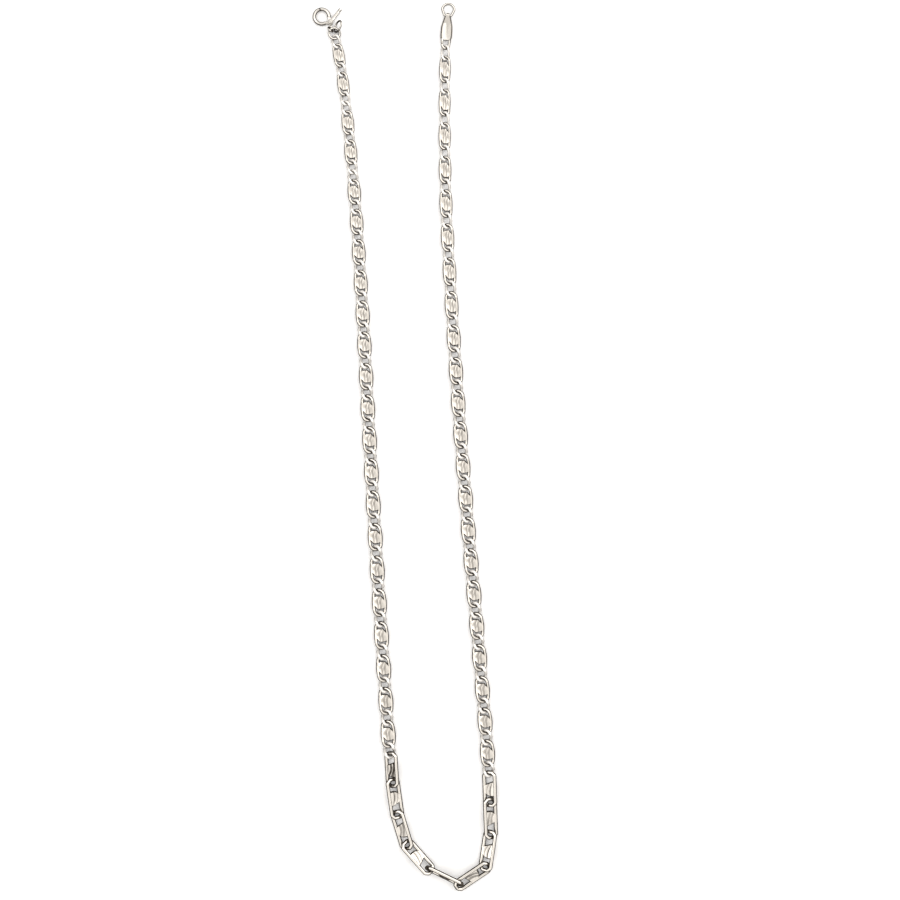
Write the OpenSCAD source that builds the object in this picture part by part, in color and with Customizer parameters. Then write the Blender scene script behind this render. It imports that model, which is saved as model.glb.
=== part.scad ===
// Necklace chain of polished silver, laid out unclasped in a long narrow loop.
// Millimetres. The chain lies on z = 0, +Y points to its two open ends,
// and the origin is the middle of the footprint.

/* [Plated links] */
// Pitch of a plated link, from the contact at one end to the contact at the other
plate_link_pitch = 7.28; // [6:0.02:9]
// Outer width of a full-size plated link
plate_link_width = 5.0; // [4:0.1:6]
// Roll of each end of a plated link, one way at the front and the other at the back
plate_link_twist = 25; // [15:1:35]
// Length of the flat plate that fills the middle of the link
plate_length = 4.6; // [3:0.1:5.5]
// Thickness of the plate
plate_thickness = 0.95; // [0.5:0.05:1.3]

/* [Ring links] */
// Pitch of a plain ring link, between its two contacts
ring_link_pitch = 3.58; // [3:0.02:5]
// Outer width of a full-size ring link
ring_link_width = 4.2; // [3:0.1:5]
// Roll of each end of a ring link
ring_link_twist = 34; // [20:1:40]

/* [Wire and spacing] */
// Diameter of the link wire at full size
wire = 1.05; // [0.8:0.05:1.4]
// Space left between two links where they pull on each other
link_gap = 0.12; // [0.05:0.01:0.3]
// Size of the last links at the open ends, as a share of full size
end_size = 0.75; // [0.6:0.01:1]
// Pitch of the last links of the left strand, as a share of full pitch
left_end_pitch = 0.88; // [0.8:0.01:1]

/* [Front links] */
// Outer length of a front link
front_length = 14.1; // [12:0.1:16]
// Outer length of the first and last front link
front_end_length = 12.3; // [10:0.1:14]
// Outer width of a front link
front_width = 5.1; // [4:0.1:6]
// Diameter of the bar a front link is made of
front_bar = 1.3; // [1:0.05:1.6]
// Length of the plate of a front link along its raised side
front_plate_long = 5.2; // [4:0.1:6]
// Length of the same plate along its lower side
front_plate_short = 3.0; // [2:0.1:4]

/* [Clasp] */
// Wire diameter of the clasp's hook and gate
clasp_wire = 1.15; // [0.8:0.05:1.4]
// Radius of the hook ring on its centre line
clasp_radius = 2.45; // [2:0.05:3]
// Space between the hook's end and the gate's end
clasp_gap = 0.3; // [0.1:0.05:0.6]
// Length of the lever from the pivot pin to its rounded tip
lever_length = 5.6; // [4:0.1:7]

/* [End tag] */
// Length of the end tag's flat body
tag_length = 9.2; // [8:0.1:12]
// Width of the end tag at its widest point
tag_width = 4.0; // [3:0.1:5]
// Thickness of the end tag
tag_thickness = 0.9; // [0.6:0.05:1.2]

/* [Hidden] */
$fn = 48;
silver = [0.88, 0.86, 0.83];
pale_silver = [0.92, 0.90, 0.86];

// A bend of the wire is filled by a ball of this share of the wire's diameter,
// and a corner of a front link by a ball of that share of its bar
knuckle = 1.05;
front_knuckle = 1.04;

// Left strand, counted from the front: ring and plated links take turns up to link 36,
// and nearer the clasp two ring links follow each other in two places.
left_count = 47;
left_plates = [39, 41, 44, 46];
left_regular = 36;
right_count = 45;
// The links nearest the front are nodes of their own, the rest are joined in stretches
left_single = 15;
right_single = 16;
stretches = 4;

// Route of each strand: heading in degrees from +Y towards +X, by link number
left_start = [-4.75, -102.1];
left_headings = [[0, -4.6], [3, -4], [14, -3.5], [24, -3], [32, -3.8], [40, -5.6], [45, -8], [48, -15]];
right_start = [28.3, -108.3];
right_headings = [[0, -3.4], [4, -4.8], [12, -5.2], [24, -4.2], [34, -3.2], [38, -1], [42, 0.2], [46, 1.8]];
// Pitch of a link as a share of full pitch: on the left the links get shorter towards the clasp,
// and on the right the wire thins while their length stays
left_stretch = [[0, 1.01], [12, 1.01], [24, 0.97], [40, 0.91], [47, left_end_pitch]];
right_stretch = [[0, 0.98], [24, 0.98], [33, 1.05], [45, 1.02]];
// Size of a link by its place in the strand, from the front (0) to the open end (1)
size_steps = [[0, 1], [0.3, 1], [0.55, 0.96], [0.8, 0.87], [1, end_size]];

function is_plate(side, k) =
    side < 0 && k > left_regular ? len(search(k, left_plates)) > 0 : k % 2 == 0;
function strand_count(side) = side < 0 ? left_count : right_count;
function size_at(side, k) = lookup(k / strand_count(side), size_steps);
function stretch_at(side, k) = lookup(k, side < 0 ? left_stretch : right_stretch);
function pitch_at(side, k) =
    (is_plate(side, k) ? plate_link_pitch : ring_link_pitch) * stretch_at(side, k);
function heading_at(side, k) = lookup(k, side < 0 ? left_headings : right_headings);
function along(angle) = [sin(angle), cos(angle)];

// Contact points between the links of a strand, walked from the front outwards
function contacts(side) = [
    for (
        k = 1, p = side < 0 ? left_start : right_start;
        k <= strand_count(side) + 1;
        p = p + (k <= strand_count(side) ? pitch_at(side, k) : 0) * along(heading_at(side, k)),
        k = k + 1
    ) p
];
left_contacts = contacts(-1);
right_contacts = contacts(1);
function contact(side, k) = side < 0 ? left_contacts[k] : right_contacts[k];

// A round rod between two points
module rod(a, b, d) {
    v = b - a;
    translate(a) rotate([0, acos(v[2] / norm(v)), atan2(v[1], v[0])]) cylinder(h = norm(v), d = d);
}

// The same with a ball a little thicker than the rod at each end
module bar(a, b, d) {
    rod(a, b, d);
    for (p = [a, b]) translate(p) rotate([90, 0, 0]) sphere(d = d * knuckle);
}

// Oval of wire whose front end is rolled one way and back end the other
module twisted_oval(length, width, d, twist) {
    r = (width - d) / 2;
    a = (length - d) / 2 - r;
    c = r * cos(twist);
    s = r * sin(twist);
    translate([0, a, 0]) rotate([0, -twist, 0]) rotate_extrude(angle = 180) translate([r, 0]) circle(d = d);
    translate([0, -a, 0]) rotate([0, twist, 0]) rotate([0, 0, 180])
        rotate_extrude(angle = 180) translate([r, 0]) circle(d = d);
    bar([c, a, s], [c, -a, -s], d);
    bar([-c, a, -s], [-c, -a, s], d);
}

// Plate of a strand link: two of its corners are cut on the slant, and two shallow flutes cross it
module strand_plate(width, length, size) {
    x = width / 2;
    y = length / 2;
    t = plate_thickness * size;
    difference() {
        translate([0, 0, -t / 2]) linear_extrude(t)
            polygon([[-x, y * 0.8], [-x * 0.6, y], [x * 0.2, y], [x, y * 0.35],
                [x, -y * 0.8], [x * 0.6, -y], [-x * 0.2, -y], [-x, -y * 0.35]]);
        for (offset_x = [-0.55, 0.55])
            translate([offset_x * size, 0, t * 0.78]) rotate([90, 0, -14])
                cylinder(h = length * 1.4, d = t * 0.9, center = true);
    }
}

// Plated link of the strands
module plated_link(pitch, size) {
    d = wire * size;
    width = plate_link_width * size;
    length = pitch + 2 * d + link_gap;
    color(silver) union() {
        twisted_oval(length, width, d, plate_link_twist);
        strand_plate((width - d) * 0.94, plate_length * pitch / plate_link_pitch, size);
    }
}

// Plain ring link between two plated links
module ring_link(pitch, size) {
    d = wire * size;
    color(silver) twisted_oval(pitch + 2 * d + link_gap, ring_link_width * size, d, ring_link_twist);
}

// Height of a link's middle when it lies on the table
function rest_height(width, twist, size) =
    size * ((width - wire) / 2 * sin(twist) + wire * knuckle / 2);

// Link number k of a strand, in its place
module strand_link(side, k) {
    size = size_at(side, k);
    pitch = pitch_at(side, k);
    plated = is_plate(side, k);
    middle = (contact(side, k - 1) + contact(side, k)) / 2;
    z = plated ? rest_height(plate_link_width, plate_link_twist, size)
        : rest_height(ring_link_width, ring_link_twist, size);
    translate([middle[0], middle[1], z]) rotate([0, 0, -heading_at(side, k)]) {
        if (plated) plated_link(pitch, size);
        else ring_link(pitch, size);
    }
}

// First and last link of one of the joined stretches of a strand
function single_count(side) = side < 0 ? left_single : right_single;
function stretch_start(side, i) =
    single_count(side) + 1 + round((i - 1) * (strand_count(side) - single_count(side)) / stretches);

module strand_stretch(side, i) {
    union() for (k = [stretch_start(side, i):stretch_start(side, i + 1) - 1]) strand_link(side, k);
}

// Front link, flat: its plate is longer along the side that lies raised, the left one when raised is -1
module front_link_body(length, raised) {
    b = (front_width - front_bar) / 2;
    h = (length - front_bar) / 2;
    corner_x = 0.9;
    corner_y = h - 1;
    rim = [[b, corner_y, 0], [corner_x, h, 0], [-corner_x, h, 0], [-b, corner_y, 0],
        [-b, -corner_y, 0], [-corner_x, -h, 0], [corner_x, -h, 0], [b, -corner_y, 0]];
    long = front_plate_long / 2;
    short = front_plate_short / 2;
    t = front_bar * 0.88;
    x = raised * b * 0.93;
    color(pale_silver) difference() {
        union() {
            for (i = [0:7]) rod(rim[i], rim[(i + 1) % 8], front_bar);
            for (p = rim) translate(p) rotate([90, 0, 0]) sphere(d = front_bar * front_knuckle);
            translate([0, 0, -t / 2]) linear_extrude(t)
                polygon([[x, long], [x * 0.3, long], [-x, short], [-x, -short], [x * 0.3, -long], [x, -long]]);
        }
        for (offset_x = [-0.6, 0.55])
            translate([offset_x, 0, t * 0.8]) rotate([90, 0, -16])
                cylinder(h = front_plate_short * 1.25, d = t * 0.85, center = true);
    }
}

// Place of each front link along the bend, from the left strand to the right one:
// x, y, heading from +Y towards +X, roll that lifts its left side, nose-up pitch, height of the middle
front_places = [
    [-4.1, -106.7, 176.5, 33.5, 0, 1.73],
    [-3.05, -116.35, 172, -27.5, 0, 1.56],
    [-0.7, -126.9, 163, 25, 0, 1.48],
    [4.65, -135.8, 138, -28.5, 4.5, 2.01],
    [13.4, -141.95, 115.5, 69, 1.5, 2.6],
    [22.8, -142.15, 57, 26.5, -4, 1.9],
    [27.9, -133.75, 8.5, -28.5, -2, 1.78],
    [28.8, -122.95, -2, 26.5, 0, 1.53],
    [28.55, -113.15, -2, -26, -0.5, 1.55],
];

module front_link(i) {
    p = front_places[i - 1];
    translate([p[0], p[1], p[5]]) rotate([0, 0, -p[2]]) rotate([p[4], 0, 0]) rotate([0, p[3], 0])
        front_link_body(i == 1 || i == len(front_places) ? front_end_length : front_length, -sign(p[3]));
}

// Clasp: the hook is a bent wire that ends in a small foot with an eye,
// and the gate turns on a pin in that foot
hook_middle = [-27.53, 144.43];
pin_at = [-24.6, 142.57];
eye_at = [-24.54, 139.99];
clasp_height = 0.8;
gate_end_angle = 98;
hook_foot_angle = 300;
gate_foot_angle = -5;
foot_thickness = 0.4;
hub_low = 0.46;
hub_thickness = 0.7;
hub_radius = 0.95;
pin_radius = 0.35;
pin_clearance = 0.06;
eye_wire = 0.56;
eye_radius = 0.95;
eye_height = 1.26;
eye_turn = 42;
eye_tilt = 62;
pin_head_radius = 0.62;
pin_head_thickness = 0.35;
head_low = hub_low + hub_thickness + 0.06;

// Part of the clasp's ring between two angles
module clasp_arc(from, to) {
    translate([hook_middle[0], hook_middle[1], clasp_height]) rotate([0, 0, from])
        rotate_extrude(angle = to - from) translate([clasp_radius, 0]) circle(d = clasp_wire);
}

function on_ring(angle) =
    [hook_middle[0] + clasp_radius * cos(angle), hook_middle[1] + clasp_radius * sin(angle)];

// A flat strip with round ends between two points in plan
module strip(a, b, width, low, thickness) {
    v = b - a;
    translate([a[0], a[1], low]) rotate([0, 0, atan2(v[1], v[0])])
        translate([0, -width / 2, 0]) cube([norm(v), width, thickness]);
    for (p = [a, b]) translate([p[0], p[1], low]) cylinder(h = thickness, d = width);
}

module clasp_hook() {
    gap_angle = clasp_gap / clasp_radius * 180 / PI;
    foot = on_ring(hook_foot_angle);
    color(silver) union() {
        clasp_arc(gate_end_angle + gap_angle, hook_foot_angle);
        translate([foot[0], foot[1], clasp_height]) sphere(d = clasp_wire * knuckle);
        strip(foot, pin_at, 1.2, 0, foot_thickness);
        strip(pin_at, eye_at, 0.9, 0, foot_thickness);
        translate([pin_at[0], pin_at[1], 0]) cylinder(h = foot_thickness, r = hub_radius + 0.1);
        translate([pin_at[0], pin_at[1], 0]) cylinder(h = head_low + 0.1, r = pin_radius);
        translate([pin_at[0], pin_at[1], head_low]) cylinder(h = pin_head_thickness, r = pin_head_radius);
        translate([eye_at[0], eye_at[1], eye_height]) rotate([0, eye_tilt, eye_turn])
            rotate_extrude() translate([eye_radius, 0]) circle(d = eye_wire);
    }
}

module clasp_gate() {
    foot = on_ring(gate_foot_angle);
    tip = pin_at + lever_length * along(38);
    color(silver) difference() {
        union() {
            clasp_arc(gate_foot_angle, gate_end_angle);
            translate([foot[0], foot[1], clasp_height]) sphere(d = clasp_wire * knuckle);
            strip(foot, pin_at, 1.0, hub_low, hub_thickness);
            strip(pin_at, tip, 1.1, hub_low, hub_thickness);
            translate([pin_at[0], pin_at[1], hub_low]) cylinder(h = hub_thickness, r = hub_radius);
        }
        translate([pin_at[0], pin_at[1], 0]) cylinder(h = 3, r = pin_radius + pin_clearance);
    }
}

// Round ring that joins the clasp's eye to the first link of the left strand
module jump_ring() {
    color(silver) translate([-23.28, 138.75, 1.1]) rotate([-2, 11.6, 0])
        rotate_extrude() translate([1.82, 0]) circle(d = 0.74);
}

// Thin oval ring beside it, through the same link
module side_ring() {
    color(silver) translate([-22.05, 140.9, 1.7]) rotate([36.6, -37.4, -58.4])
        twisted_oval(4.7, 3.5, 0.6, 0);
}

// End tag: a flat piece, a twisted wire eye at its foot for the last link
// and a short cross tube at its tip for the end ring
tag_at = [13.79, 134.99];
tag_heading = 4.5;
tag_eye_radius = 1.3;
tag_eye_wire = 0.8;
tag_eye_twist = 30;
tag_height = 1.09;
tube_at = 9.75;
tube_length = 1.3;
tube_outer = 1.7;
tube_hole = 1.0;

module tag_place() {
    translate([tag_at[0], tag_at[1], tag_height]) rotate([0, 0, -tag_heading]) rotate([-1, 0, 0]) children();
}

module end_tag() {
    half = tag_width / 2;
    r = tag_eye_radius;
    c = r * cos(tag_eye_twist);
    s = r * sin(tag_eye_twist);
    first = tube_at - tag_length + 0.95;
    color(pale_silver) tag_place() difference() {
        union() {
            rotate([0, tag_eye_twist, 0]) rotate([0, 0, 180])
                rotate_extrude(angle = 180) translate([r, 0]) circle(d = tag_eye_wire);
            bar([c, 0, -s], [r, 1.7, -0.1], tag_eye_wire);
            bar([-c, 0, s], [-r, 1.7, 0.1], tag_eye_wire);
            translate([0, 0, -tag_thickness / 2]) linear_extrude(tag_thickness)
                polygon([[-half * 0.7, first], [half * 0.7, first], [half, first + 1.6], [half * 0.9, 5.6],
                    [tube_length * 0.4, tube_at], [-tube_length * 0.4, tube_at], [-half * 0.9, 5.6], [-half, first + 1.6]]);
            translate([-tube_length / 2, tube_at, 0]) rotate([0, 90, 0]) cylinder(h = tube_length, d = tube_outer);
        }
        translate([-tube_length, tube_at, 0]) rotate([0, 90, 0]) cylinder(h = 2 * tube_length, d = tube_hole);
    }
}

// Pear-shaped ring of wire whose straight foot runs through the tag's cross tube
module end_ring() {
    d = 0.7;
    r = 2.0;
    foot = 1.15;
    rise = 2.1;
    color(silver) tag_place() translate([0, tube_at, 0]) rotate([-6, 0, 0]) {
        translate([0, rise, 0]) rotate_extrude(angle = 180) translate([r, 0]) circle(d = d);
        bar([-foot, 0, 0], [foot, 0, 0], d);
        bar([foot, 0, 0], [r, rise, 0], d);
        bar([-foot, 0, 0], [-r, rise, 0], d);
    }
}

for (i = [1:9]) front_link(i);
for (k = [1:left_single]) strand_link(-1, k);
for (k = [1:right_single]) strand_link(1, k);
for (i = [1:stretches]) strand_stretch(-1, i);
for (i = [1:stretches]) strand_stretch(1, i);
clasp_hook();
clasp_gate();
jump_ring();
side_ring();
end_tag();
end_ring();
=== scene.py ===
import math
import bpy
from mathutils import Matrix, Vector
from mathutils.kdtree import KDTree


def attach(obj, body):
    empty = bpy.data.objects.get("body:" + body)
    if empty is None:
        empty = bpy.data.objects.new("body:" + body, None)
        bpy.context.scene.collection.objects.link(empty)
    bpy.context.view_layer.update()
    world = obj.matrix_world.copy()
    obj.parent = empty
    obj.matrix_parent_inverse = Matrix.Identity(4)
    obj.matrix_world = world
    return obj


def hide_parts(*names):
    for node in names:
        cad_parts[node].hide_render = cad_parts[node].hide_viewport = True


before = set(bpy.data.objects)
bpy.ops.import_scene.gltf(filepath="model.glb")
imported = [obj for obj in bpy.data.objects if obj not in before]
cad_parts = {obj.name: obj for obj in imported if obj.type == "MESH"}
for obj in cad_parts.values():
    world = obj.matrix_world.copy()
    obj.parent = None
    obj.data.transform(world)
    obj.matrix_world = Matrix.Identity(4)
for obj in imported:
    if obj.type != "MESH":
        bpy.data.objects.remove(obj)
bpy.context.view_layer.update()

mm = 0.001

# Table top, light and camera.
# The chain lies on a plain white table top. Two soft windows light it from the right and the
# left, a low one catches its right sides, and it is seen from straight above, at arm's length.
bpy.ops.object.select_all(action="DESELECT")
bpy.ops.mesh.primitive_plane_add(size=2.4, location=(0, 0, 0))
table_top = bpy.context.object
table_top.name = "table_top"

paper = bpy.data.materials.new("white_table")
paper.use_nodes = True
paper_shader = paper.node_tree.nodes["Principled BSDF"]
paper_shader.inputs["Roughness"].default_value = 0.9
paper_shader.inputs["Specular IOR Level"].default_value = 0.1
# The table top is lit a little from below, which thins the shadows out
paper_shader.inputs["Emission Color"].default_value = (1, 1, 1, 1)
paper_shader.inputs["Emission Strength"].default_value = 0.13
paper_grain = paper.node_tree.nodes.new("ShaderNodeTexNoise")
paper_grain.inputs["Scale"].default_value = 900
paper_tone = paper.node_tree.nodes.new("ShaderNodeMix")
paper_tone.data_type = "RGBA"
paper_tone.inputs["A"].default_value = (0.93, 0.93, 0.93, 1)
paper_tone.inputs["B"].default_value = (0.96, 0.96, 0.96, 1)
paper.node_tree.links.new(paper_grain.outputs["Fac"], paper_tone.inputs["Factor"])
paper.node_tree.links.new(paper_tone.outputs["Result"], paper_shader.inputs["Base Color"])
# Painted reflection: in mirrored rays the table shows a dark brown instead of its white, so the metal's
# sides mirror dark; there are no cards round the chain
painted_dark_reflection = paper.node_tree.nodes.new("ShaderNodeBsdfDiffuse")
painted_dark_reflection.inputs["Color"].default_value = (0.27, 0.245, 0.22, 1)
mirrored = paper.node_tree.nodes.new("ShaderNodeLightPath")
table_with_painted_reflection = paper.node_tree.nodes.new("ShaderNodeMixShader")
paper.node_tree.links.new(mirrored.outputs["Is Glossy Ray"], table_with_painted_reflection.inputs["Fac"])
paper.node_tree.links.new(paper_shader.outputs["BSDF"], table_with_painted_reflection.inputs[1])
paper.node_tree.links.new(painted_dark_reflection.outputs["BSDF"], table_with_painted_reflection.inputs[2])
paper_end = paper.node_tree.nodes["Material Output"]
paper.node_tree.links.new(table_with_painted_reflection.outputs["Shader"], paper_end.inputs["Surface"])
table_top.data.materials.append(paper)

world = bpy.data.worlds.new("studio")
bpy.context.scene.world = world
world.use_nodes = True
sky = world.node_tree
sky_direction = sky.nodes.new("ShaderNodeTexCoord")
sky_split = sky.nodes.new("ShaderNodeSeparateXYZ")
sky_ramp = sky.nodes.new("ShaderNodeValToRGB")
# Dark low down, brightest at half height, and a little dimmer overhead, where the camera stands
for i in range(4):
    sky_ramp.color_ramp.elements.new(0.2 + 0.2 * i)
for stop, (position, brightness) in zip(sky_ramp.color_ramp.elements, (
        (0.0, 0.03), (0.17, 0.05), (0.35, 0.72), (0.58, 1.0), (0.86, 0.95), (0.96, 0.62))):
    stop.position = position
    stop.color = (brightness, brightness * 0.975, brightness * 0.945, 1)
ceiling_panels = sky.nodes.new("ShaderNodeTexNoise")
ceiling_panels.inputs["Scale"].default_value = 2.2
ceiling_panels.inputs["Detail"].default_value = 1
ceiling = sky.nodes.new("ShaderNodeMapRange")
ceiling.inputs["From Min"].default_value = 0.35
ceiling.inputs["From Max"].default_value = 0.62
ceiling.inputs["To Min"].default_value = 1.05
ceiling.inputs["To Max"].default_value = 1.42
sky.links.new(sky_direction.outputs["Generated"], sky_split.inputs["Vector"])
sky.links.new(sky_direction.outputs["Generated"], ceiling_panels.inputs["Vector"])
sky.links.new(ceiling_panels.outputs["Fac"], ceiling.inputs["Value"])
# The left of the room is darker low down, so the chain's left sides are the dark ones
dim_left = sky.nodes.new("ShaderNodeMapRange")
dim_left.inputs["From Min"].default_value = -0.1
dim_left.inputs["From Max"].default_value = -0.6
dim_left.inputs["To Max"].default_value = 0.07
sky_height = sky.nodes.new("ShaderNodeMath")
sky_height.operation = "SUBTRACT"
sky.links.new(sky_split.outputs["X"], dim_left.inputs["Value"])
sky.links.new(sky_split.outputs["Z"], sky_height.inputs[0])
sky.links.new(dim_left.outputs["Result"], sky_height.inputs[1])
sky.links.new(sky_height.outputs["Value"], sky_ramp.inputs["Fac"])
sky.links.new(sky_ramp.outputs["Color"], sky.nodes["Background"].inputs["Color"])
sky.links.new(ceiling.outputs["Result"], sky.nodes["Background"].inputs["Strength"])
# Seen past the table's edge, the room is as pale as the table
room = sky.nodes.new("ShaderNodeBackground")
room.inputs["Color"].default_value = (0.86, 0.86, 0.86, 1)
looked_at = sky.nodes.new("ShaderNodeLightPath")
room_mix = sky.nodes.new("ShaderNodeMixShader")
sky.links.new(looked_at.outputs["Is Camera Ray"], room_mix.inputs["Fac"])
sky.links.new(sky.nodes["Background"].outputs["Background"], room_mix.inputs[1])
sky.links.new(room.outputs["Background"], room_mix.inputs[2])
sky.links.new(room_mix.outputs["Shader"], sky.nodes["World Output"].inputs["Surface"])
bpy.context.scene.view_settings.view_transform = "Standard"

for lamp_name, stand, size, power in (
    ("window_right", (0.42, 0.30, 0.55), 0.8, 1.9),
    ("window_left", (-0.50, 0.05, 0.60), 0.45, 0.8),
    ("low_strip_right", (0.85, 0.62, 0.30), 0.5, 1.5),
):
    bpy.ops.object.light_add(type="AREA", location=stand)
    lamp = bpy.context.object
    lamp.name = lamp_name
    lamp.data.size = size
    lamp.data.energy = power
    lamp.data.color = (1.0, 0.985, 0.965)
    lamp.rotation_euler = (-Vector(stand)).to_track_quat("-Z", "Y").to_euler()

# The picture is 300 mm wide on the table, and its middle is right of the chain's own middle
picture_middle = Vector((15.3 * mm, -0.2 * mm, 1.5 * mm))
picture_width = 300 * mm
camera_height = 620 * mm
film_width = 36
bpy.ops.object.camera_add(location=picture_middle + Vector((0, 0, camera_height)), rotation=(0, 0, 0))
camera = bpy.context.object
camera.data.sensor_width = film_width
camera.data.lens = film_width * camera_height / picture_width
camera.data.clip_start = 0.01
camera.data.clip_end = 10
bpy.context.scene.camera = camera

# Plain ring links.
# Each is a ring of round silver wire, soldered shut and then twisted, so that its front end
# and its back end roll opposite ways and the chain lies flat. They sit between the plated links.
wire = 1.05 * mm
link_gap = 0.12 * mm
ring_pitch = 3.58 * mm
ring_width = 4.2 * mm
ring_twist = math.radians(34)


def only(piece):
    """Makes piece the one selected and active object."""
    if bpy.context.mode != "OBJECT":
        bpy.ops.object.mode_set(mode="OBJECT")
    bpy.ops.object.select_all(action="DESELECT")
    piece.select_set(True)
    bpy.context.view_layer.objects.active = piece


def pick(piece, kind, test):
    """Opens edit mode with the vertices, edges or faces of piece selected that pass the test."""
    only(piece)
    mesh = piece.data
    for part in (mesh.vertices, mesh.edges, mesh.polygons):
        part.foreach_set("select", [False] * len(part))
    if kind == "VERT":
        for v in mesh.vertices:
            v.select = bool(test(v.co))
    elif kind == "EDGE":
        for e in mesh.edges:
            e.select = bool(test(*(mesh.vertices[i].co for i in e.vertices)))
    else:
        for f in mesh.polygons:
            f.select = bool(test(f.center, f.normal))
    bpy.context.tool_settings.mesh_select_mode = (kind == "VERT", kind == "EDGE", kind == "FACE")
    bpy.ops.object.mode_set(mode="EDIT")


def apply_modifier(piece, kind, **settings):
    """Adds a modifier to piece, sets it and applies it."""
    only(piece)
    bpy.ops.object.modifier_add(type=kind)
    modifier = piece.modifiers[-1]
    for key, value in settings.items():
        setattr(modifier, key, value)
    bpy.ops.object.modifier_apply(modifier=modifier.name)


def wire_oval(name, length, width, thickness, rail_cuts):
    """A closed oval of round wire, flat: a torus whose two halves are pulled apart along y."""
    around = 44
    bend = (width - thickness) / 2
    half_rail = (length - thickness) / 2 - bend
    bpy.ops.object.select_all(action="DESELECT")
    bpy.ops.mesh.primitive_torus_add(
        major_segments=around, minor_segments=14, major_radius=bend,
        minor_radius=thickness / 2, rotation=(0, 0, math.pi / around))
    oval = bpy.context.object
    oval.name = name
    bpy.ops.object.transform_apply(rotation=True)
    for side in (1, -1):
        pick(oval, "VERT", lambda co: co.y * side > 0)
        bpy.ops.transform.translate(value=(0, side * half_rail, 0))
    pick(oval, "EDGE", lambda p, q: p.y * q.y < 0)
    bpy.ops.mesh.subdivide(number_cuts=rail_cuts)
    bpy.ops.object.mode_set(mode="OBJECT")
    return oval, half_rail


def twist_link(link, half_rail, each_end):
    """Rolls the link's two ends opposite ways, and leaves the rounds themselves unbent."""
    reach = half_rail / link.dimensions.y
    apply_modifier(link, "SIMPLE_DEFORM", deform_method="TWIST", deform_axis="Y",
                   angle=-2 * each_end, limits=(0.5 - reach, 0.5 + reach))


ring_model, ring_rail = wire_oval(
    "ring_link_model", ring_pitch + 2 * wire + link_gap, ring_width, wire, rail_cuts=5)
twist_link(ring_model, ring_rail, ring_twist)

# Silver.
# One effect serves every finish: the tops keep the bright colour, surfaces that face sideways are painted
# brown as painted shade, hollows and places where parts lie close go brown as tarnish and painted shade,
# and fine scratches run along the chain.
shade_and_patina = bpy.data.node_groups.new("silver_with_painted_shade", "ShaderNodeTree")
for socket, kind, value in (
    ("Bright", "NodeSocketColor", (0.9, 0.87, 0.82, 1)),
    ("Tarnish And Shade", "NodeSocketColor", (0.16, 0.13, 0.1, 1)),
    ("Recess", "NodeSocketFloat", 0.9),
    ("Sides", "NodeSocketFloat", 0.5),
    ("Side Start", "NodeSocketFloat", 0.82),
    ("Side Full", "NodeSocketFloat", 0.25),
    ("Polish", "NodeSocketFloat", 0.2),
    ("Scratch Scale", "NodeSocketFloat", 1.0),
):
    shade_and_patina.interface.new_socket(socket, in_out="INPUT", socket_type=kind).default_value = value
for socket, kind in (
    ("Color", "NodeSocketColor"), ("Roughness", "NodeSocketFloat"), ("Height", "NodeSocketFloat"),
):
    shade_and_patina.interface.new_socket(socket, in_out="OUTPUT", socket_type=kind)


def node(tree, kind, settings=(), values=(), links=()):
    """One shader node: its settings, its socket values, and what feeds its sockets."""
    made = tree.nodes.new(kind)
    for key, value in dict(settings).items():
        setattr(made, key, value)
    for key, value in dict(values).items():
        made.inputs[key].default_value = value
    for key, source in dict(links).items():
        tree.links.new(source, made.inputs[key])
    return made


given = node(shade_and_patina, "NodeGroupInput").outputs
on_piece = node(shade_and_patina, "ShaderNodeTexCoord").outputs["Object"]
shelter = node(shade_and_patina, "ShaderNodeAmbientOcclusion", {"samples": 12}, {"Distance": 0.7 * mm})
# Hollows and the gaps between parts lying close darken: partly tarnish, partly painted shade
recess = node(shade_and_patina, "ShaderNodeMapRange", {"interpolation_type": "SMOOTHSTEP"},
              {"From Min": 0.22, "From Max": 0.9, "To Min": 1, "To Max": 0},
              {"Value": shelter.outputs["AO"]})
facing = node(shade_and_patina, "ShaderNodeSeparateXYZ", links={
    "Vector": node(shade_and_patina, "ShaderNodeNewGeometry").outputs["Normal"]})
# Painted shade: the more a surface faces sideways in the world, the darker it is painted
sideways = node(shade_and_patina, "ShaderNodeMapRange", {"interpolation_type": "SMOOTHSTEP"},
                {"To Min": 1, "To Max": 0},
                {"Value": facing.outputs["Z"], "From Min": given["Side Full"],
                 "From Max": given["Side Start"]})
clouds = node(shade_and_patina, "ShaderNodeTexNoise", values={"Scale": 700, "Detail": 3},
              links={"Vector": on_piece})
blotch = node(shade_and_patina, "ShaderNodeMapRange",
              values={"From Min": 0.3, "From Max": 0.7, "To Min": 0.7, "To Max": 1.15},
              links={"Value": clouds.outputs["Fac"]})
recess_share = node(shade_and_patina, "ShaderNodeMath", {"operation": "MULTIPLY"},
                    links={0: recess.outputs["Result"], 1: given["Recess"]})
side_share = node(shade_and_patina, "ShaderNodeMath", {"operation": "MULTIPLY"},
                  links={0: sideways.outputs["Result"], 1: given["Sides"]})
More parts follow.
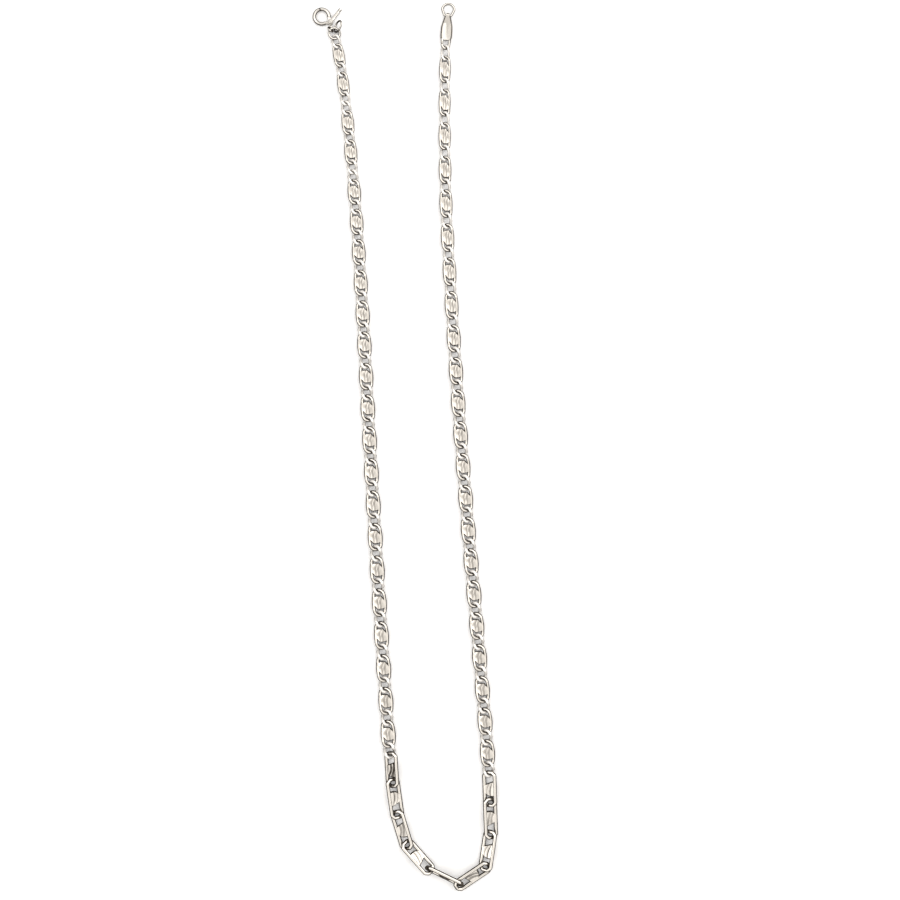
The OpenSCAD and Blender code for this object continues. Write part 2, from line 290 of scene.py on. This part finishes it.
# Painted shade carried by the mesh: flute floors, plate faces, the tag's hollow, flattened sides and the
# clasp's cut
shade_paint = node(shade_and_patina, "ShaderNodeAttribute", {"attribute_name": "painted_shade"})
shade_paint_line = node(shade_and_patina, "ShaderNodeMath", {"operation": "POWER"}, {1: 1.6},
                   {0: shade_paint.outputs["Fac"]})
shade_paint_share = node(shade_and_patina, "ShaderNodeMath", {"operation": "MULTIPLY"}, {1: 0.75},
                    {0: shade_paint_line.outputs[0]})
shade_and_tarnish = node(shade_and_patina, "ShaderNodeMath", {"operation": "MAXIMUM"},
            links={0: recess_share.outputs[0], 1: side_share.outputs[0]})
shade_and_tarnish = node(shade_and_patina, "ShaderNodeMath", {"operation": "MAXIMUM"},
            links={0: shade_and_tarnish.outputs[0], 1: shade_paint_share.outputs[0]})
shade_and_tarnish = node(shade_and_patina, "ShaderNodeMath", {"operation": "MULTIPLY", "use_clamp": True},
            links={0: shade_and_tarnish.outputs[0], 1: blotch.outputs["Result"]})
tone = node(shade_and_patina, "ShaderNodeMix", {"data_type": "RGBA"},
            links={"Factor": shade_and_tarnish.outputs[0], "A": given["Bright"], "B": given["Tarnish And Shade"]})
stretch = node(shade_and_patina, "ShaderNodeMapping", values={"Scale": (3.2, 0.5, 3.2)},
               links={"Vector": on_piece})
scratch_scale = node(shade_and_patina, "ShaderNodeMath", {"operation": "MULTIPLY"}, {1: 1400},
                     {0: given["Scratch Scale"]})
scratches = node(shade_and_patina, "ShaderNodeTexNoise", values={"Detail": 4, "Roughness": 0.7},
                 links={"Vector": stretch.outputs["Vector"], "Scale": scratch_scale.outputs[0]})
rub = node(shade_and_patina, "ShaderNodeMath", {"operation": "MULTIPLY_ADD"}, {1: 0.10},
           {0: scratches.outputs["Fac"], 2: given["Polish"]})
rough = node(shade_and_patina, "ShaderNodeMath", {"operation": "MULTIPLY_ADD"}, {1: 0.25},
             {0: shade_and_tarnish.outputs[0], 2: rub.outputs[0]})
node(shade_and_patina, "NodeGroupOutput", links={
    "Color": tone.outputs["Result"], "Roughness": rough.outputs[0],
    "Height": scratches.outputs["Fac"]})


def silver(name, bright, recess, sides, side_start, side_full, polish, scratch_scale, scratch_depth,
           metallic=1.0):
    """Solid silver with its own brightness, painted shade, tarnish and scratches.

    recess says how dark hollows are painted, partly tarnish and partly painted shade; sides says how dark
    the painted side shade is. Sides start to darken where the surface's upward share falls below
    side_start, and are fully dark at side_full.
    """
    material = bpy.data.materials.new(name)
    material.use_nodes = True
    tree = material.node_tree
    shader = tree.nodes["Principled BSDF"]
    shader.inputs["Metallic"].default_value = metallic
    worn = node(tree, "ShaderNodeGroup", {"node_tree": shade_and_patina}, {
        "Bright": (*bright, 1), "Tarnish And Shade": (0.07, 0.056, 0.044, 1), "Recess": recess, "Sides": sides,
        "Side Start": side_start, "Side Full": side_full, "Polish": polish,
        "Scratch Scale": scratch_scale})
    relief = node(tree, "ShaderNodeBump", values={"Strength": 0.5, "Distance": scratch_depth},
                  links={"Height": worn.outputs["Height"]})
    tree.links.new(worn.outputs["Color"], shader.inputs["Base Color"])
    tree.links.new(worn.outputs["Roughness"], shader.inputs["Roughness"])
    tree.links.new(relief.outputs["Normal"], shader.inputs["Normal"])
    return material


link_silver = silver("polished_link_silver", (0.81, 0.77, 0.71), recess=0.98, sides=0.98,
                     side_start=0.945, side_full=0.77, polish=0.15, scratch_scale=1.0,
                     scratch_depth=0.006 * mm)
# The plain rings are less metallic and painted paler than the plated links, a painted lightening, so their
# slanting sides stay pale; only their edges take the painted side shade
ring_silver = silver("ring_silver_painted_paler", (0.96, 0.93, 0.89), recess=0.98, sides=0.98,
                     side_start=0.62, side_full=0.36, polish=0.20, scratch_scale=1.0,
                     scratch_depth=0.006 * mm, metallic=0.3)


def settle(piece, material, slot, body, *nodes):
    """Cleans a finished piece and gives it its metal, its shading and its place in the frame."""
    only(piece)
    if material:
        piece.data.materials.clear()
        piece.data.materials.append(material)
    bpy.ops.object.mode_set(mode="EDIT")
    bpy.ops.mesh.select_all(action="SELECT")
    bpy.ops.mesh.remove_doubles(threshold=0.002 * mm)
    bpy.ops.mesh.dissolve_degenerate(threshold=0.002 * mm)
    bpy.ops.mesh.normals_make_consistent(inside=False)
    # Faces with many corners, left by the soldered seams, are cut into even triangles
    bpy.context.tool_settings.mesh_select_mode = (False, False, True)
    bpy.ops.mesh.select_all(action="DESELECT")
    bpy.ops.mesh.select_face_by_sides(number=4, type="GREATER", extend=False)
    bpy.ops.mesh.quads_convert_to_tris(quad_method="BEAUTY", ngon_method="BEAUTY")
    bpy.ops.object.mode_set(mode="OBJECT")
    bpy.ops.object.shade_smooth_by_angle(angle=math.radians(38))
    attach(piece, body)
    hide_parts(*nodes)


# Plated links.
# A longer oval of the same wire with a plate soldered into its middle. The plate's ends are cut
# on the slant and two flutes are milled across it. The whole link is twisted once it is made.
plate_pitch = 7.28 * mm
plated_width = 5.0 * mm
plated_twist = math.radians(25)
plate_length = 4.6 * mm
plate_thickness = 0.95 * mm


def cut_plate(name, half_width, front_edge, thickness, chamfer, lean, bow, flutes, depth, plate_shade,
              mirrored_back=False):
    """A plate whose ends follow front_edge(x), chamfered, with leaning flutes sunk in both faces.

    Each flute runs from one share of the half width to another and is deepest at its right edge.
    """
    bpy.ops.object.select_all(action="DESELECT")
    bpy.ops.mesh.primitive_cube_add(size=2)
    plate = bpy.context.object
    plate.name = name
    for axis, cuts in ((0, 23), (1, 15), (2, 1)):
        pick(plate, "EDGE", lambda p, q: abs(p[axis] - q[axis]) > 1)
        bpy.ops.mesh.subdivide(number_cuts=cuts)
    bpy.ops.object.mode_set(mode="OBJECT")
    painted_shade = plate.data.attributes.new("painted_shade", "FLOAT", "POINT")
    for v in plate.data.vertices:
        u, t, up = v.co
        x = half_width * u
        front = front_edge(x)
        back = -front_edge(x) if mirrored_back else -front_edge(-x)
        front -= chamfer * abs(up)
        back += chamfer * abs(up)
        y = back + (front - back) * (t + 1) / 2
        sunk = 0
        for start, stop in flutes:
            if start < u < stop:
                sunk = depth * (u - start) / (stop - start)
        slant = (lean * y - bow * (1 - t * t)) * (1 - u * u)
        v.co = (x + slant, y, up * (thickness / 2 - (sunk if abs(up) > 0.9 else 0)))
        # Painted shade: the whole plate face is painted a little darker, and darker still towards each
        # flute's deep edge
        painted_shade.data[v.index].value = plate_shade + (1 - plate_shade) * sunk / depth
    return plate


def between(points, x):
    """The height at x of a line drawn through points, given from left to right."""
    for (x0, y0), (x1, y1) in zip(points, points[1:]):
        if x <= x1:
            return y0 + (y1 - y0) * max(0, x - x0) / (x1 - x0)
    return points[-1][1]


plated_model, plated_rail = wire_oval(
    "plated_link_model", plate_pitch + 2 * wire + link_gap, plated_width, wire, rail_cuts=13)
half_plate = plate_length / 2
plate_side = (plated_width - wire) / 2 * 0.97
plate_cut = [(-plate_side, half_plate * 0.8), (-plate_side * 0.6, half_plate),
             (plate_side * 0.2, half_plate), (plate_side, half_plate * 0.35)]
link_plate = cut_plate("link_plate", plate_side, lambda x: between(plate_cut, x), plate_thickness,
                       chamfer=0.28 * mm, lean=0.22, bow=0.25 * mm,
                       flutes=((-0.62, -0.05), (-0.04, 0.5)), depth=0.1 * mm, plate_shade=0.4)


def solder(base, *parts):
    """Joins parts and the base into one solid. Each part's painted shade stays where it was."""
    marks = []
    for part in (base, *parts):
        if "painted_shade" in part.data.attributes:
            values = part.data.attributes["painted_shade"].data
            marks += [(v.co.copy(), values[v.index].value) for v in part.data.vertices]
    for part in parts:
        apply_modifier(base, "BOOLEAN", operation="UNION", solver="EXACT", object=part)
        bpy.data.objects.remove(part)
    corners = KDTree(len(marks))
    for i, (co, _) in enumerate(marks):
        corners.insert(co, i)
    corners.balance()
    if "painted_shade" not in base.data.attributes:
        base.data.attributes.new("painted_shade", "FLOAT", "POINT")
    painted_shade = base.data.attributes["painted_shade"].data
    for v in base.data.vertices:
        _, nearest, distance = corners.find(v.co)
        painted_shade[v.index].value = marks[nearest][1] if distance < 0.001 * mm else 0
    return base


solder(plated_model, link_plate)
twist_link(plated_model, plated_rail, plated_twist)

# Route of the two strands.
# The strands lie side by side from the bend at the front to the two open ends. Headings are in
# degrees from +Y towards +X, by link number, and the links get smaller towards the ends.
end_size = 0.75
knuckle = 1.05
strands = {
    "left": {
        "count": 47, "single": 15, "start": (-4.75, -102.1), "plates": (39, 41, 44, 46), "regular": 36,
        "headings": [(0, -4.6), (3, -4), (14, -3.5), (24, -3), (32, -3.8), (40, -5.6), (45, -8),
                     (48, -15)],
        "stretch": [(0, 1.01), (12, 1.01), (24, 0.97), (40, 0.91), (47, 0.88)],
    },
    "right": {
        "count": 45, "single": 16, "start": (28.3, -108.3), "plates": (), "regular": 45,
        "headings": [(0, -3.4), (4, -4.8), (12, -5.2), (24, -4.2), (34, -3.2), (38, -1), (42, 0.2),
                     (46, 1.8)],
        "stretch": [(0, 0.98), (24, 0.98), (33, 1.05), (45, 1.02)],
    },
}
size_steps = [(0, 1), (0.3, 1), (0.55, 0.96), (0.8, 0.87), (1, end_size)]
stretches = 4


def place_link(model, half_rail, width, own_pitch, twist, name, size, pitch, middle, heading):
    """A copy of the model link at its own size, its rails drawn out or shortened to its pitch."""
    link = model.copy()
    link.data = model.data.copy()
    link.name = name
    bpy.context.scene.collection.objects.link(link)
    length = own_pitch + 2 * wire + link_gap
    # The rounds only change size, and the rails take up the rest of the pitch
    draw = (pitch + 2 * wire * size + link_gap) / 2 - size * length / 2
    # The link lies on its two lowest bends, which are a little thicker than the wire
    lift = size * ((width - wire) / 2 * math.sin(twist) + wire * knuckle / 2)
    for v in link.data.vertices:
        v.co = (v.co.x * size, v.co.y * size + draw * max(-1, min(1, v.co.y / half_rail)), v.co.z * size)
    link.data.transform(Matrix.Translation((middle.x, middle.y, lift))
                        @ Matrix.Rotation(-math.radians(heading), 4, "Z"))
    return link


for side, strand in strands.items():
    contact = Vector(strand["start"]) * mm
    waiting = []
    first_joined = strand["single"] + 1
    joined_count = strand["count"] - strand["single"]
    last_of_stretch = [
        first_joined + math.floor(i * joined_count / stretches + 0.5) - 1 for i in range(1, stretches + 1)]
    for k in range(1, strand["count"] + 1):
        plated = k in strand["plates"] if k > strand["regular"] else k % 2 == 0
        size = between(size_steps, k / strand["count"])
        heading = between(strand["headings"], k)
        pitch = (plate_pitch if plated else ring_pitch) * between(strand["stretch"], k)
        step = Vector((math.sin(math.radians(heading)), math.cos(math.radians(heading)))) * pitch
        if plated:
            kind = "plated_link"
            shape = (plated_model, plated_rail, plated_width, plate_pitch, plated_twist)
        else:
            kind = "ring_link"
            shape = (ring_model, ring_rail, ring_width, ring_pitch, ring_twist)
        link = place_link(*shape, f"{side}_{kind}_{k}", size, pitch, contact + step / 2, heading)
        contact = contact + step
        link.data.materials.clear()
        link.data.materials.append(link_silver if plated else ring_silver)
        if k <= strand["single"]:
            settle(link, None, "link_silver", "chain", f"{side}_link_{k}")
            continue
        waiting.append(link)
        if k in last_of_stretch:
            only(waiting[0])
            for part in waiting:
                part.select_set(True)
            bpy.ops.object.join()
            number = last_of_stretch.index(k) + 1
            waiting[0].name = f"{side}_joined_links_{number}"
            settle(waiting[0], None, "link_silver", "chain", f"{side}_stretch_{number}")
            waiting = []
bpy.data.objects.remove(ring_model)
bpy.data.objects.remove(plated_model)

# Front links.
# Nine heavier links make the bend. Each is a flat bar link with narrow ends and a fluted plate
# across its middle, longer along the side that lies raised. They lean one way and the other.
front_bar = 1.3 * mm
front_width = 5.1 * mm
front_length = 14.1 * mm
front_end_length = 12.3 * mm
front_silver = silver("bright_front_silver", (0.85, 0.81, 0.75), recess=0.78, sides=0.98,
                      side_start=0.87, side_full=0.74, polish=0.16, scratch_scale=0.8,
                      scratch_depth=0.006 * mm)


def bent_wire(name, path, thickness, closed=False, widths=None):
    """Round wire along a path of points. widths thickens or thins it point by point."""
    curve = bpy.data.curves.new(name, "CURVE")
    curve.dimensions = "3D"
    curve.bevel_depth = thickness / 2
    curve.bevel_resolution = 3
    curve.use_fill_caps = True
    spline = curve.splines.new("POLY")
    spline.points.add(len(path) - 1)
    for i, point in enumerate(path):
        spline.points[i].co = (*point, 1)
        spline.points[i].radius = widths[i] if widths else 1
    spline.use_cyclic_u = closed
    piece = bpy.data.objects.new(name, curve)
    bpy.context.scene.collection.objects.link(piece)
    only(piece)
    bpy.ops.object.convert(target="MESH")
    return bpy.context.object


def rounded(corners, radius):
    """A closed path through corners, each one rounded off."""
    steps = 4
    path = []
    for i, corner in enumerate(corners):
        before = (corners[i - 1] - corner).normalized()
        after = (corners[(i + 1) % len(corners)] - corner).normalized()
        for j in range(steps + 1):
            t = j / steps
            path.append(corner + before * radius * (1 - t) ** 2 + after * radius * t ** 2)
    return path


def front_link_model(length, raised):
    """A flat front link. raised is the side, 1 or -1 along x, where the plate is longer."""
    side = (front_width - front_bar) / 2
    end = (length - front_bar) / 2
    shoulder = 1.0 * mm
    tip = 0.9 * mm
    corners = [Vector(c) for c in (
        (side, end - shoulder, 0), (tip, end, 0), (-tip, end, 0), (-side, end - shoulder, 0),
        (-side, shoulder - end, 0), (-tip, -end, 0), (tip, -end, 0), (side, shoulder - end, 0))]
    link = bent_wire("front_link", rounded(corners, 0.28 * mm), front_bar, closed=True)
    reach = side * 0.97
    long, short = 2.6 * mm, 1.5 * mm
    cut = [(-reach, short), (0.3 * reach, long), (reach, long)]
    if raised < 0:
        cut = [(-x, y) for x, y in reversed(cut)]
    plate = cut_plate("front_plate", reach, lambda x: between(cut, x), front_bar * 0.9,
                      chamfer=0.42 * mm, lean=0.26, bow=0.45 * mm,
                      flutes=((-0.7, -0.12), (-0.10, 0.45)), depth=0.11 * mm, plate_shade=0.22,
                      mirrored_back=True)
    solder(link, plate)
    return link


front_places = (
    # x, y, heading, roll that lifts the left side, nose-up pitch, height of the middle
    (-4.1, -106.7, 176.5, 33.5, 0, 1.73),
    (-3.05, -116.35, 172, -27.5, 0, 1.56),
    (-0.7, -126.9, 163, 25, 0, 1.48),
    (4.65, -135.8, 138, -28.5, 4.5, 2.01),
    (13.4, -141.95, 115.5, 69, 1.5, 2.6),
    (22.8, -142.15, 57, 26.5, -4, 1.9),
    (27.9, -133.75, 8.5, -28.5, -2, 1.78),
    (28.8, -122.95, -2, 26.5, 0, 1.53),
    (28.55, -113.15, -2, -26, -0.5, 1.55),
)
for i, (x, y, heading, roll, pitch, height) in enumerate(front_places, start=1):
    at_end = i in (1, len(front_places))
    link = front_link_model(front_end_length if at_end else front_length, -1 if roll > 0 else 1)
    link.name = f"front_link_bar_{i}"
    link.data.transform(
        Matrix.Translation(Vector((x, y, height)) * mm)
        @ Matrix.Rotation(-math.radians(heading), 4, "Z")
        @ Matrix.Rotation(math.radians(pitch), 4, "X")
        @ Matrix.Rotation(math.radians(roll), 4, "Y"))
    settle(link, front_silver, "front_silver", "chain", f"front_link_{i}")

# Clasp hook.
# One wire bent round as a hook and hammered flat where the gate's pin goes through, with a
# small eye soldered on behind. The pin is riveted over with a low round head.
clasp_silver = silver("clasp_wire_silver", (0.80, 0.77, 0.72), recess=0.98, sides=0.98,
                      side_start=0.985, side_full=0.74, polish=0.15, scratch_scale=1.2,
                      scratch_depth=0.005 * mm)
clasp_wire = 1.15 * mm
clasp_radius = 2.45 * mm
hook_middle = Vector((-27.53, 144.43, 0.8)) * mm
pin_at = Vector((-24.6, 142.57, 0)) * mm
eye_at = Vector((-24.54, 139.99, 0)) * mm
gate_end = 102.8
hook_end = 104.2
hook_foot_angle = 300
foot_top = 0.4 * mm
pin_radius, pin_length = 0.35 * mm, 1.3 * mm
pin_head_radius, pin_head_thickness = 0.62 * mm, 0.35 * mm


def on_ring(angle):
    """The point at an angle on the clasp's ring."""
    a = math.radians(angle)
    return hook_middle + Vector((clasp_radius * math.cos(a), clasp_radius * math.sin(a), 0))


def flat_bar(name, path, width, low, high, widths=None):
    """Wire hammered flat between two heights."""
    bar = bent_wire(name, [Vector((p.x, p.y, 0)) for p in path], width, widths=widths)
    squeeze = (high - low) / width
    # Painted shade: the narrow sides of the flattened wire are painted dark
    flat_side_shade = bar.data.attributes.new("painted_shade", "FLOAT", "POINT")
    for v in bar.data.vertices:
        flat_side_shade.data[v.index].value = 0.9 if abs(v.co.z) < 0.3 * width else 0
    bar.data.transform(Matrix.Translation((0, 0, (high + low) / 2))
                       @ Matrix.Diagonal((1, 1, squeeze, 1)))
    return bar


def arc(first, last, steps):
    """Points along the clasp's ring from one angle to another."""
    return [on_ring(first + (last - first) * i / steps) for i in range(steps + 1)]


def scarf(piece, end_angle):
    """Cuts the wire's end on the slant, seen from above, so that the gate can only swing outwards."""
    a = math.radians(end_angle)
    along = Vector((-math.sin(a), math.cos(a), 0))
    outward = Vector((math.cos(a), math.sin(a), 0))
    end = on_ring(end_angle)
    slant_at_end, slant_behind = 0.52, 0.45
    # The cut end and the wire just behind it are painted dark: a painted shadow for the gap where gate and
    # hook meet
    cut = piece.data.attributes.new("painted_shade", "FLOAT", "POINT")
    for v in piece.data.vertices:
        from_end = abs((v.co - end).dot(along))
        if (v.co - end).length < clasp_wire and from_end < 0.3 * mm:
            at_end = from_end < 0.02 * mm
            v.co += along * (v.co - end).dot(outward) * (slant_at_end if at_end else slant_behind)
            cut.data[v.index].value = 1.5 if at_end else 0.9


hook_arc = bent_wire("hook_arc", arc(hook_end, hook_foot_angle, 40), clasp_wire)
scarf(hook_arc, hook_end)
hook_heel = on_ring(hook_foot_angle)
foot_path = [hook_heel, hook_heel.lerp(pin_at, 0.5), pin_at, pin_at.lerp(eye_at, 0.4), eye_at]
hook_foot = flat_bar("hook_foot", foot_path, 1.25 * mm, 0, foot_top, widths=[1, 1, 1.25, 0.85, 0.7])
bpy.ops.mesh.primitive_cylinder_add(vertices=28, radius=pin_radius, depth=pin_length,
                                    location=pin_at + Vector((0, 0, 0.75 * mm)))
pin = bpy.context.object
bpy.ops.object.transform_apply(location=True)
bpy.ops.mesh.primitive_cylinder_add(vertices=28, radius=pin_head_radius, depth=pin_head_thickness,
                                    location=pin_at + Vector((0, 0, 1.395 * mm)))
pin_head = bpy.context.object
bpy.ops.object.transform_apply(location=True)
pick(pin_head, "FACE", lambda centre, normal: normal.z > 0.9)
bpy.ops.mesh.bevel(offset=0.14 * mm, segments=4)
bpy.ops.object.mode_set(mode="OBJECT")
bpy.ops.object.select_all(action="DESELECT")
bpy.ops.mesh.primitive_torus_add(major_segments=40, minor_segments=12, major_radius=0.95 * mm,
                                 minor_radius=0.28 * mm)
hook_eye = bpy.context.object
hook_eye.data.transform(
    Matrix.Translation((eye_at.x, eye_at.y, 1.26 * mm))
    @ Matrix.Rotation(math.radians(42), 4, "Z") @ Matrix.Rotation(math.radians(62), 4, "Y"))
hook = solder(hook_arc, hook_foot, pin, pin_head, hook_eye)
hook.name = "clasp_hook_wire"
settle(hook, clasp_silver, "clasp_silver", "chain", "clasp_hook")

# Clasp gate.
# The part that opens: a curved wire that closes the ring, a flat hub on the pin and a lever
# for the fingernail, notched near its tip. It turns outwards about the pin.
hub_low, hub_high = 0.46 * mm, 1.16 * mm
hub_radius = 0.95 * mm
lever_length = 5.6 * mm
lever_heading = math.radians(38)
lever_tip = pin_at + lever_length * Vector((math.sin(lever_heading), math.cos(lever_heading), 0))
gate_foot_angle = -5
gate_arc = bent_wire("gate_arc", arc(gate_foot_angle, gate_end, 24), clasp_wire)
scarf(gate_arc, gate_end)
gate_heel = on_ring(gate_foot_angle)
gate_foot = flat_bar("gate_foot", [gate_heel, gate_heel.lerp(pin_at, 0.5), gate_heel.lerp(pin_at, 0.72)],
                     1.1 * mm, hub_low, hub_high)


def drill(piece, rim, wall):
    """Opens a hole along a short cylinder: the wall is what is left between the rim and the hole."""
    pick(piece, "FACE", lambda centre, normal: abs(normal.z) > 0.9)
    bpy.ops.mesh.inset(thickness=rim, depth=0)
    bpy.ops.mesh.inset(thickness=wall, depth=0)
    bpy.ops.mesh.bridge_edge_loops()
    bpy.ops.object.mode_set(mode="OBJECT")


bpy.ops.mesh.primitive_cylinder_add(vertices=36, radius=hub_radius, depth=hub_high - hub_low,
                                    location=pin_at + Vector((0, 0, (hub_low + hub_high) / 2)))
hub = bpy.context.object
bpy.ops.object.transform_apply(location=True)
drill(hub, 0.12 * mm, 0.42 * mm)
lever_path = [pin_at.lerp(lever_tip, t) for t in (0.14, 0.2, 0.4, 0.7, 0.80, 0.83, 0.86, 0.95, 0.99, 1.0)]
lever = flat_bar("lever", lever_path, 1.08 * mm, hub_low, hub_high,
                 widths=[1.1, 1.1, 0.92, 0.95, 0.95, 0.62, 0.95, 0.98, 0.8, 0.45])
gate = solder(gate_arc, gate_foot, hub, lever)
gate.name = "clasp_gate_wire"
settle(gate, clasp_silver, "clasp_silver", "gate", "clasp_gate")

# Jump ring and side ring.
# The round ring joins the clasp's eye to the last link. The thin oval one hangs in it, as a
# spare. Both are cut from a coil of wire and pushed shut, so a fine seam shows in each.


def cut_ring(name, half_width, half_length, thickness, seam_at, pose):
    """A ring of wire with a fine seam, laid in its pose."""
    steps = 56
    gap = 0.02
    path = []
    for i in range(steps + 1):
        a = seam_at + gap + (2 * math.pi - 2 * gap) * i / steps
        path.append(Vector((half_width * math.cos(a), half_length * math.sin(a), 0)))
    ring = bent_wire(name, path, thickness, widths=[0.96] + [1] * (steps - 1) + [0.96])
    ring.data.transform(pose)
    return ring


def turned(x, y, z, rx, ry, rz):
    """A place in millimetres, with turns in degrees about x, then y, then z."""
    return (Matrix.Translation(Vector((x, y, z)) * mm) @ Matrix.Rotation(math.radians(rz), 4, "Z")
            @ Matrix.Rotation(math.radians(ry), 4, "Y") @ Matrix.Rotation(math.radians(rx), 4, "X"))


jump_ring = cut_ring("round_jump_ring", 1.82 * mm, 1.82 * mm, 0.74 * mm, 2.4,
                     turned(-23.28, 138.75, 1.1, -2, 11.6, 0))
settle(jump_ring, clasp_silver, "clasp_silver", "chain", "jump_ring")
side_ring = cut_ring("thin_side_ring", 1.45 * mm, 2.05 * mm, 0.6 * mm, 0.3,
                     turned(-22.05, 140.9, 1.7, 36.6, -37.4, -58.4))
settle(side_ring, clasp_silver, "clasp_silver", "chain", "side_ring")

# End tag.
# A flat tapered piece of cast silver with a shallow hollow along its face. Behind, a twisted
# loop of wire holds the last link, and a short tube across its tip carries the end ring.
tag_silver = silver("smooth_tag_silver", (0.78, 0.745, 0.69), recess=0.95, sides=0.85,
                    side_start=0.95, side_full=0.6, polish=0.16, scratch_scale=0.6,
                    scratch_depth=0.004 * mm)
tag_place = turned(13.79, 134.99, 1.09, -1, 0, -4.5)
tag_foot, tag_tip = 1.5, 10.2
tube_at = 9.75
tube_radius, tube_length = 0.85 * mm, 1.3 * mm
# Half width and half thickness of the tag along its length, in millimetres
tag_outline = [(tag_foot, 1.55), (2.1, 1.85), (3.1, 1.95), (4.4, 1.95), (6.0, 1.88), (7.2, 1.62),
               (8.4, 1.3), (9.4, 0.98), (tag_tip, 0.6)]
tag_depth = [(7.2, 0.45), (9.4, 0.84), (tag_tip, 0.72)]
bpy.ops.object.select_all(action="DESELECT")
bpy.ops.mesh.primitive_cube_add(size=2)
tag_body = bpy.context.object
for axis, cuts in ((0, 9), (1, 31), (2, 1)):
    pick(tag_body, "EDGE", lambda p, q: abs(p[axis] - q[axis]) > 1)
    bpy.ops.mesh.subdivide(number_cuts=cuts)
bpy.ops.object.mode_set(mode="OBJECT")
# Painted shade: the tag's face is painted slightly darker all over and more in its shallow hollow
tag_shade = tag_body.data.attributes.new("painted_shade", "FLOAT", "POINT")
for v in tag_body.data.vertices:
    u, t, up = v.co
    y = tag_foot + (tag_tip - tag_foot) * (t + 1) / 2
    half = between(tag_outline, y)
    rim = 0.42 * abs(up)
    hollow = max(0, 1 - (u / 0.7) ** 2) * max(0, 1 - ((y - 4.9) / 3.2) ** 2)
    v.co = Vector((u * (half - rim), y, up * (between(tag_depth, y) - 0.13 * hollow))) * mm
    tag_shade.data[v.index].value = 0.16 + 0.28 * hollow
tag_eye_radius = 1.3
tag_eye_wire = 0.8 * mm
tag_eye_twist = math.radians(30)
tag_loop_path = []
for i in range(21):
    a = math.radians(180 + 180 * i / 20)
    tag_loop_path.append(Vector((
        tag_eye_radius * math.cos(a) * math.cos(tag_eye_twist), tag_eye_radius * math.sin(a),
        -tag_eye_radius * math.cos(a) * math.sin(tag_eye_twist))) * mm)
tag_loop = bent_wire("tag_loop", tag_loop_path, tag_eye_wire)
tag_legs = []
for s in (1, -1):
    leg_path = [Vector((s * tag_eye_radius * math.cos(tag_eye_twist), 0, -s * 0.65)) * mm,
                Vector((s * 1.25, 0.9, -s * 0.32)) * mm,
                Vector((s * tag_eye_radius, 1.9, -s * 0.08)) * mm]
    tag_legs.append(bent_wire("tag_leg", leg_path, tag_eye_wire))
bpy.ops.mesh.primitive_cylinder_add(vertices=32, radius=tube_radius, depth=tube_length)
tag_tube = bpy.context.object
drill(tag_tube, 0.08 * mm, 0.27 * mm)
tag_tube.data.transform(
    Matrix.Translation((0, tube_at * mm, 0)) @ Matrix.Rotation(math.radians(90), 4, "Y"))
for v in tag_tube.data.vertices:
    v.co.x *= 1 - 0.5 * max(0, v.co.y / mm - tube_at)
tag = solder(tag_body, tag_tube, *tag_legs, tag_loop)
tag.name = "flat_end_tag"
tag.data.transform(tag_place)
settle(tag, tag_silver, "tag_silver", "chain", "end_tag")

# End ring.
# A pear-shaped ring of thin wire whose straight foot runs through the tag's tube, so it can
# swing. The clasp hooks into it.
pear_radius = 2.0
pear = []
for i in range(25):
    a = math.radians(180 * i / 24)
    pear.append(Vector((pear_radius * math.cos(a), 2.1 + pear_radius * math.sin(a), 0)) * mm)
pear += [Vector(c) * mm for c in ((-1.75, 1.48, 0), (-1.3, 0.4, 0), (-1.12, 0.1, 0), (-0.95, 0, 0),
                                  (0.95, 0, 0), (1.12, 0.1, 0), (1.3, 0.4, 0), (1.75, 1.48, 0))]
end_ring = bent_wire("pear_end_ring", pear, 0.7 * mm, closed=True)
end_ring.data.transform(tag_place @ Matrix.Translation((0, tube_at * mm, 0))
                        @ Matrix.Rotation(math.radians(-6), 4, "X"))
settle(end_ring, clasp_silver, "clasp_silver", "chain", "end_ring")
